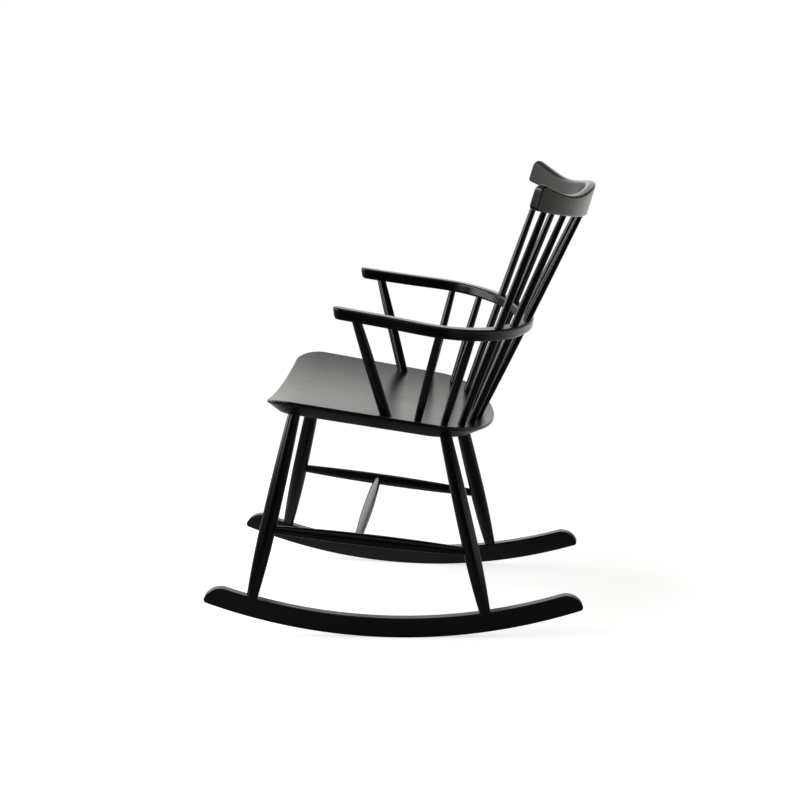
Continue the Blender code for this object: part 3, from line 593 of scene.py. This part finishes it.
ahead /= np.linalg.norm(ahead, axis=1)[:, None]
outline_normal = np.stack([ahead[:, 1], -ahead[:, 0]], axis=1)
print("the seat's outline is", round(loop_run[-1], 3), "m round")

# %% Carry the seat's profile round its outline
SEAT_CHAMFER_INSET = 0.026
SEAT_CHAMFER_HEIGHT = 0.0205
SEAT_RIM_ROUND = 0.0028
SEAT_LOW_ROUND = 0.0022
SEAT_MIDDLE_SETBACK = 0.21
SEAT_TOP_ROWS = 48
SEAT_ROW_CROWDING = 1.15
FLAT_PIECE = 0.02
PROFILE_POINTS = 7


def rounded_corner(before, corner_point, after, radius):
    """Points of a rounded profile corner: a parabola that leaves and meets the two straight runs at
    radius from the corner, (1-t)² leave + 2t(1-t) corner + t² meet."""
    before, corner_point, after = map(np.array, (before, corner_point, after))
    leave = corner_point + radius * (before - corner_point) / np.linalg.norm(before - corner_point)
    meet = corner_point + radius * (after - corner_point) / np.linalg.norm(after - corner_point)
    t = np.linspace(0.0, 1.0, PROFILE_POINTS)[:, None]
    return (1 - t) ** 2 * leave + 2 * t * (1 - t) * corner_point + t ** 2 * meet


top_inside = (FLAT_PIECE, SEAT_THICKNESS)
top_rim = (0.0, SEAT_THICKNESS)
low_rim = (0.0, SEAT_CHAMFER_HEIGHT)
foot_rim = (SEAT_CHAMFER_INSET, 0.0)
foot_inside = (SEAT_CHAMFER_INSET + FLAT_PIECE, 0.0)
profile = np.concatenate([rounded_corner(top_inside, top_rim, low_rim, SEAT_RIM_ROUND),
                          rounded_corner(top_rim, low_rim, foot_rim, SEAT_LOW_ROUND),
                          rounded_corner(low_rim, foot_rim, foot_inside, SEAT_LOW_ROUND)])
rim = outline - profile[:, :1, None] * outline_normal
middle = np.array([0.0, SEAT_MIDDLE_SETBACK])
inward = np.linspace(0.0, 1.0, SEAT_TOP_ROWS, endpoint=False)[1:, None, None]
draw_in = 1 - inward ** SEAT_ROW_CROWDING
top_rows = middle + draw_in[::-1] * (rim[0] - middle)
low_rows = middle + draw_in * (rim[-1] - middle)
plan = np.concatenate([top_rows, rim, low_rows])
height = np.concatenate([np.full(len(top_rows), SEAT_THICKNESS), profile[:, 1], np.zeros(len(low_rows))])
hollow = 1 - (plan[..., 0] / SEAT_FRONT_HALF_WIDTH) ** 2
roll = SEAT_ROLL * np.clip(1 - plan[..., 1] / SEAT_ROLL_REACH, 0.0, None) ** 2
low = -SEAT_BELLY * hollow
top = SEAT_THICKNESS - SEAT_DISH * hollow - roll
level = low + (top - low) * height[:, None] / SEAT_THICKNESS - SEAT_THICKNESS
seat_points = np.concatenate([plan, level[..., None]], axis=-1)
corner_rub = np.sin(np.linspace(0.0, math.pi, PROFILE_POINTS))
rim_rub = np.zeros(len(plan))
rim_rub[len(top_rows) + np.arange(len(profile))] = np.tile(corner_rub, len(profile) // PROFILE_POINTS)
seat = skin("seat_hollowed", put(seat_points, seat_bench), seat_points[..., [1, 0, 2]],
            np.broadcast_to(rim_rub[:, None], level.shape))
print("the seat has", len(seat.data.polygons), "faces")

# %% [markdown]
# ## Shader sums in Python
#
# A finish is arithmetic on patterns. Blender writes arithmetic as one node per operation, which is
# hard to read as a list. A small class that wraps a socket lets an expression such as
# 0.3 + 0.1 * pattern add those nodes by itself.

# %% Wrap a socket
class Wire:
    """One output of a node. Sums of wires and numbers add Math nodes to the same tree."""

    def __init__(self, tree, output=None):
        self.tree = tree
        self.output = output

    def add(self, kind, settings=None, sockets=None, out=0):
        """Any node: its type, its settings, then the values or wires of its sockets."""
        node = self.tree.nodes.new(kind)
        for key, value in (settings or {}).items():
            setattr(node, key, value)
        for key, value in (sockets or {}).items():
            if isinstance(value, Wire):
                self.tree.links.new(value.output, node.inputs[key])
            else:
                node.inputs[key].default_value = value
        return Wire(self.tree, node.outputs[out] if len(node.outputs) else None)

    def sum_node(self, operation, first, second):
        """One Math node on two wires or numbers."""
        return self.add("ShaderNodeMath", {"operation": operation}, {0: first, 1: second})

    def __add__(self, other):
        return self.sum_node("ADD", self, other)

    def __sub__(self, other):
        return self.sum_node("SUBTRACT", self, other)

    def __rsub__(self, other):
        return self.sum_node("SUBTRACT", other, self)

    def __mul__(self, other):
        return self.sum_node("MULTIPLY", self, other)

    __radd__ = __add__
    __rmul__ = __mul__


print("wires can be added, subtracted and multiplied")

# %% [markdown]
# ## Black lacquer over wood
#
# The lacquer is thin. It is nearly black, but the wood under it still shows: fine fibres that run
# along each piece, broader growth bands that take the lacquer a little differently, and edges where
# it is rubbed thin. What the eye reads is mostly the reflection, so the patterns act on roughness and
# on a very low bump, and only faintly on colour. The patterns read the fibre attribute of each piece
# and so run lengthways everywhere, also round the bow and the crest.

# %% Mix the lacquers
DEEP_BLACK = (0.0018, 0.0018, 0.0019, 1.0)
THIN_BLACK = (0.0048, 0.0045, 0.0042, 1.0)
RUBBED_BLACK = (0.016, 0.0148, 0.0138, 1.0)
BAND_STRETCH = (1.6, 70.0, 70.0)
FIBRE_STRETCH = (14.0, 450.0, 450.0)
FLOW_STRETCH = (90.0, 130.0, 130.0)
BAND_SHEEN = 0.07
FIBRE_SHEEN = 0.06
RUB_SHEEN = 0.05
NOISE_MIDDLE = 0.5
LACQUER_IOR = 1.5


def mix_colours(wire, share, first, second):
    """first + share * (second - first). For colours a Mix node has the share on socket 0, the colours
    on 6 and 7, and the result on output 2."""
    return wire.add("ShaderNodeMix", {"data_type": "RGBA"}, {0: share, 6: first, 7: second}, out=2)


def fibre_noise(wire, fibre, stretch, detail):
    """Noise on the fibre coordinates, each of the three multiplied by its own number per metre."""
    spread = wire.add("ShaderNodeVectorMath", {"operation": "MULTIPLY"}, {0: fibre, 1: stretch})
    return wire.add("ShaderNodeTexNoise", {}, {"Vector": spread, "Scale": 1.0, "Detail": detail})


def lacquer(name, satin, fibre_depth, brush_depth):
    """Principled black: colour and roughness from growth bands, fibres and rubbed edges, and a bump
    from fibres and the lacquer's own slight waviness, in metres."""
    material = bpy.data.materials.new(name)
    material.use_nodes = True
    tree = material.node_tree
    tree.nodes.clear()
    wire = Wire(tree)
    fibre = wire.add("ShaderNodeAttribute", {"attribute_name": "fibre"}, out="Vector")
    rub = wire.add("ShaderNodeAttribute", {"attribute_name": "rub"}, out="Fac")
    bands = fibre_noise(wire, fibre, BAND_STRETCH, detail=2.0)
    fibres = fibre_noise(wire, fibre, FIBRE_STRETCH, detail=2.0)
    flow = fibre_noise(wire, fibre, FLOW_STRETCH, detail=1.0)
    thin = mix_colours(wire, bands * fibres, DEEP_BLACK, THIN_BLACK)
    colour = mix_colours(wire, rub * fibres, thin, RUBBED_BLACK)
    roughness = (satin + BAND_SHEEN * (bands - NOISE_MIDDLE) + FIBRE_SHEEN * (fibres - NOISE_MIDDLE)
                 - RUB_SHEEN * rub)
    relief = fibres * fibre_depth + flow * brush_depth
    normal = wire.add("ShaderNodeBump", {}, {"Height": relief, "Strength": 1.0, "Distance": 1.0})
    surface = wire.add("ShaderNodeBsdfPrincipled", {}, {"Base Color": colour, "Roughness": roughness,
                                                       "Normal": normal, "IOR": LACQUER_IOR})
    wire.add("ShaderNodeOutputMaterial", {}, {"Surface": surface})
    return material


FINISHES = {
    "seat_lacquer": lacquer("seat_black_lacquer", satin=0.30, fibre_depth=3e-6, brush_depth=10e-6),
    "rail_lacquer": lacquer("rail_black_lacquer", satin=0.27, fibre_depth=3e-6, brush_depth=6e-6),
    "turned_lacquer": lacquer("turned_black_lacquer", satin=0.23, fibre_depth=1e-6, brush_depth=3e-6),
}
print("finishes:", ", ".join(FINISHES))

# %% [markdown]
# ## Finish each piece
#
# Every new piece stands for one CAD solid, which is hidden from now on, and takes the finish that is
# listed for that solid here.

# %% Put the lacquer on
STANDS_FOR = {node + "_turned": (node, "turned_lacquer") for node in turned_names}
STANDS_FOR.update({"rocker_" + side_name + "_sawn": ("rocker_" + side_name, "rail_lacquer")
                   for side_name in SIDES})
STANDS_FOR["arm_bow_bent"] = ("arm_bow", "rail_lacquer")
STANDS_FOR["crest_rail_bent"] = ("crest_rail", "rail_lacquer")
STANDS_FOR["seat_hollowed"] = ("seat", "seat_lacquer")
for name, (node, slot) in STANDS_FOR.items():
    pieces[name].data.materials.append(FINISHES[slot])
    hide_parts(node)
print(len(STANDS_FOR), "pieces stand for", len(frame["nodes"]), "solids")

# %% [markdown]
# ## Floor
#
# The chair stands on a round sheet of paper that is pale beyond the chair and dark towards the camera.
# This grey is painted light and painted shade: it stands in for the light that falls from the far side
# and the shadow of the seat, which is why faces that look this way stay dark down to the rockers. The
# camera is shown the paper as white: for camera rays it is paler and also glows, and since the glow is
# only added to what the light gives, the chair's soft shadow stays. Towards its rim the sheet fades
# away, so there is no horizon.

# %% Lay the floor
WHITE = (1.0, 1.0, 1.0, 1.0)
FLOOR_RADIUS = 1.7
FLOOR_SPOKES = 96
FLOOR_FADE = (0.75, 1.649)
# Painted light and painted shade on the paper: where the grey changes, how pale it is beyond the chair
# and how dark towards the camera.
FLOOR_LIT_TO_SHADED = (-0.25, 0.10)
FLOOR_PAINTED_LIGHT = 0.75
FLOOR_PAINTED_SHADE = 0.20
FLOOR_SEEN = 0.80
FLOOR_GLOW = 0.71


def ramp(wire, value, start, end, low, high):
    """low before start, high after end, and a smooth step 3t² - 2t³ between."""
    return wire.add("ShaderNodeMapRange", {"interpolation_type": "SMOOTHSTEP"},
                    {"Value": value, "From Min": start, "From Max": end, "To Min": low, "To Max": high})


spoke_angle = np.linspace(0.0, 2 * math.pi, FLOOR_SPOKES, endpoint=False)
floor_rim = np.column_stack([FLOOR_RADIUS * np.cos(spoke_angle), FLOOR_RADIUS * np.sin(spoke_angle),
                             np.zeros(FLOOR_SPOKES)])
floor_mesh = bpy.data.meshes.new("paper_floor")
floor_mesh.from_pydata(floor_rim.tolist(), [], [list(range(FLOOR_SPOKES))])
floor = bpy.data.objects.new("paper_floor", floor_mesh)
bpy.context.scene.collection.objects.link(floor)

paper = bpy.data.materials.new("paper_painted_shade")
paper.use_nodes = True
paper.node_tree.nodes.clear()
wire = Wire(paper.node_tree)
seen = wire.add("ShaderNodeLightPath", out="Is Camera Ray")
place = wire.add("ShaderNodeTexCoord", out="Object")
distance = wire.add("ShaderNodeVectorMath", {"operation": "LENGTH"}, {0: place}, out="Value")
fade = ramp(wire, distance, *FLOOR_FADE, 0.0, 1.0)
towards_camera = wire.add("ShaderNodeSeparateXYZ", {}, {0: place}, out="X")
# Painted shade: for reflected and bounced rays the paper's grey runs from painted light beyond the chair
# to painted shade towards the camera.
floor_painted_shading = ramp(wire, towards_camera, *FLOOR_LIT_TO_SHADED, FLOOR_PAINTED_LIGHT, FLOOR_PAINTED_SHADE)
matt = wire.add("ShaderNodeBsdfDiffuse", {}, {"Color": floor_painted_shading + seen * (FLOOR_SEEN - floor_painted_shading)})
glow = wire.add("ShaderNodeEmission", {}, {"Color": WHITE, "Strength": seen * FLOOR_GLOW})
lit = wire.add("ShaderNodeAddShader", {}, {0: matt, 1: glow})
clear = wire.add("ShaderNodeBsdfTransparent")
mixed = wire.add("ShaderNodeMixShader", {}, {0: fade, 1: lit, 2: clear})
wire.add("ShaderNodeOutputMaterial", {}, {"Surface": mixed})
floor_mesh.materials.append(paper)
print("floor", 2 * FLOOR_RADIUS, "m across")

# %% [markdown]
# ## Light
#
# Black lacquer shows what stands round it, so the studio is the finish's other half. It is a world
# whose strength depends on the direction. Above the horizon a pale wall stands beyond the chair; it
# dims a little to the front, where its foot is dark, more to the rear, and most towards the soft grey
# ceiling. Below the horizon lies the ground beyond the sheet, pale on the far side and darker in front
# and behind. The camera's side is nearly black. So faces that look at the camera stay black, the seat
# and the arms' tops mirror the far wall at a low angle, and the bent rails grade from one to the
# other. The light is slightly warm, and the camera itself always sees white.
# Four lamps draw the light lines: a broad softbox high in front, a low strip in front that the bend of
# the far arm mirrors, a smaller box at the front corner for the arm posts, and a weak strip behind.
# Each lamp is given by its place, width, height and radiance, and stands upright, facing the chair. A
# pair of numbers such as FRONT_TO_FAR is where a change begins and ends, as a part of the direction.

# %% Light the studio
WARM_WHITE = (1.0, 1.0, 0.965)
FRONT_WALL = 1.05
LOW_FRONT_WALL = 0.20
FAR_WALL = 1.32
REAR_WALL = 0.15
CAMERA_WALL = 0.02
HIGH_WALL_SHARE = 0.10
CEILING = 0.25
FAR_FLOOR = 1.0
REAR_FLOOR = 0.40
FRONT_FLOOR = 0.10
FRONT_WALL_FOOT = (0.05, 0.17)
FRONT_TO_FAR = (-0.75, -0.27)
FAR_TO_REAR = (0.05, 0.4)
WALL_TOP = (0.32, 0.6)
FRONT_TO_FAR_FLOOR = (-0.7, 0.0)
FAR_TO_REAR_FLOOR = (0.3, 0.9)
HORIZON_TO_GROUND = (0.0, -0.16)
FAR_TO_CAMERA = (-0.5, 0.25)
CEILING_RIM = (0.5, 0.85)
SOFTBOXES = {
    "front_softbox": ((0.55, -2.15, 2.3), 3.0, 1.4, 4.5),
    "low_strip": ((-0.24, -1.35, 0.63), 1.1, 0.32, 4.0),
    "corner_softbox": ((1.8, -1.8, 1.03), 0.9, 0.52, 5.0),
    "rear_strip": ((0.9, 2.2, 0.34), 3.6, 0.4, 0.8),
}

world = bpy.data.worlds.new("white_studio")
bpy.context.scene.world = world
world.use_nodes = True
world.node_tree.nodes.clear()
wire = Wire(world.node_tree)
look = wire.add("ShaderNodeTexCoord", out="Generated")
across, along, above = (wire.add("ShaderNodeSeparateXYZ", {}, {0: look}, out=axis) for axis in "XYZ")
front = ramp(wire, above, *FRONT_WALL_FOOT, LOW_FRONT_WALL, FRONT_WALL)
wall = (front + ramp(wire, along, *FRONT_TO_FAR, 0.0, 1.0) * (FAR_WALL - front)
        + ramp(wire, along, *FAR_TO_REAR, 0.0, REAR_WALL - FAR_WALL))
wall = wall * ramp(wire, above, *WALL_TOP, 1.0, HIGH_WALL_SHARE)
ground = (ramp(wire, along, *FRONT_TO_FAR_FLOOR, FRONT_FLOOR, FAR_FLOOR)
          + ramp(wire, along, *FAR_TO_REAR_FLOOR, 0.0, REAR_FLOOR - FAR_FLOOR))
below = ramp(wire, above, *HORIZON_TO_GROUND, 0.0, 1.0)
facing_away = ramp(wire, across, *FAR_TO_CAMERA, 1.0, 0.0)
ceiling = ramp(wire, above, *CEILING_RIM, 0.0, CEILING)
studio = CAMERA_WALL + ceiling + (wall + below * (ground - wall)) * facing_away
seen = wire.add("ShaderNodeLightPath", out="Is Camera Ray")
warm = wire.add("ShaderNodeBackground", {}, {"Color": (*WARM_WHITE, 1), "Strength": studio})
white = wire.add("ShaderNodeBackground", {}, {"Color": WHITE, "Strength": 1.0})
shown = wire.add("ShaderNodeMixShader", {}, {0: seen, 1: warm, 2: white})
wire.add("ShaderNodeOutputWorld", {}, {"Surface": shown})

for name, (place, width, height, radiance) in SOFTBOXES.items():
    lamp_data = bpy.data.lights.new(name, "AREA")
    lamp_data.shape = "RECTANGLE"
    lamp_data.size = width
    lamp_data.size_y = height
    lamp_data.energy = radiance * math.pi * width * height
    lamp_data.color = WARM_WHITE
    lamp = bpy.data.objects.new(name, lamp_data)
    bpy.context.scene.collection.objects.link(lamp)
    lamp.location = place
    lamp.rotation_euler = (math.radians(90), 0.0, math.atan2(place[0], -place[1]))
    lamp.visible_camera = False
    print(name, round(lamp_data.energy, 1), "W")
bpy.context.scene.view_settings.view_transform = "Standard"
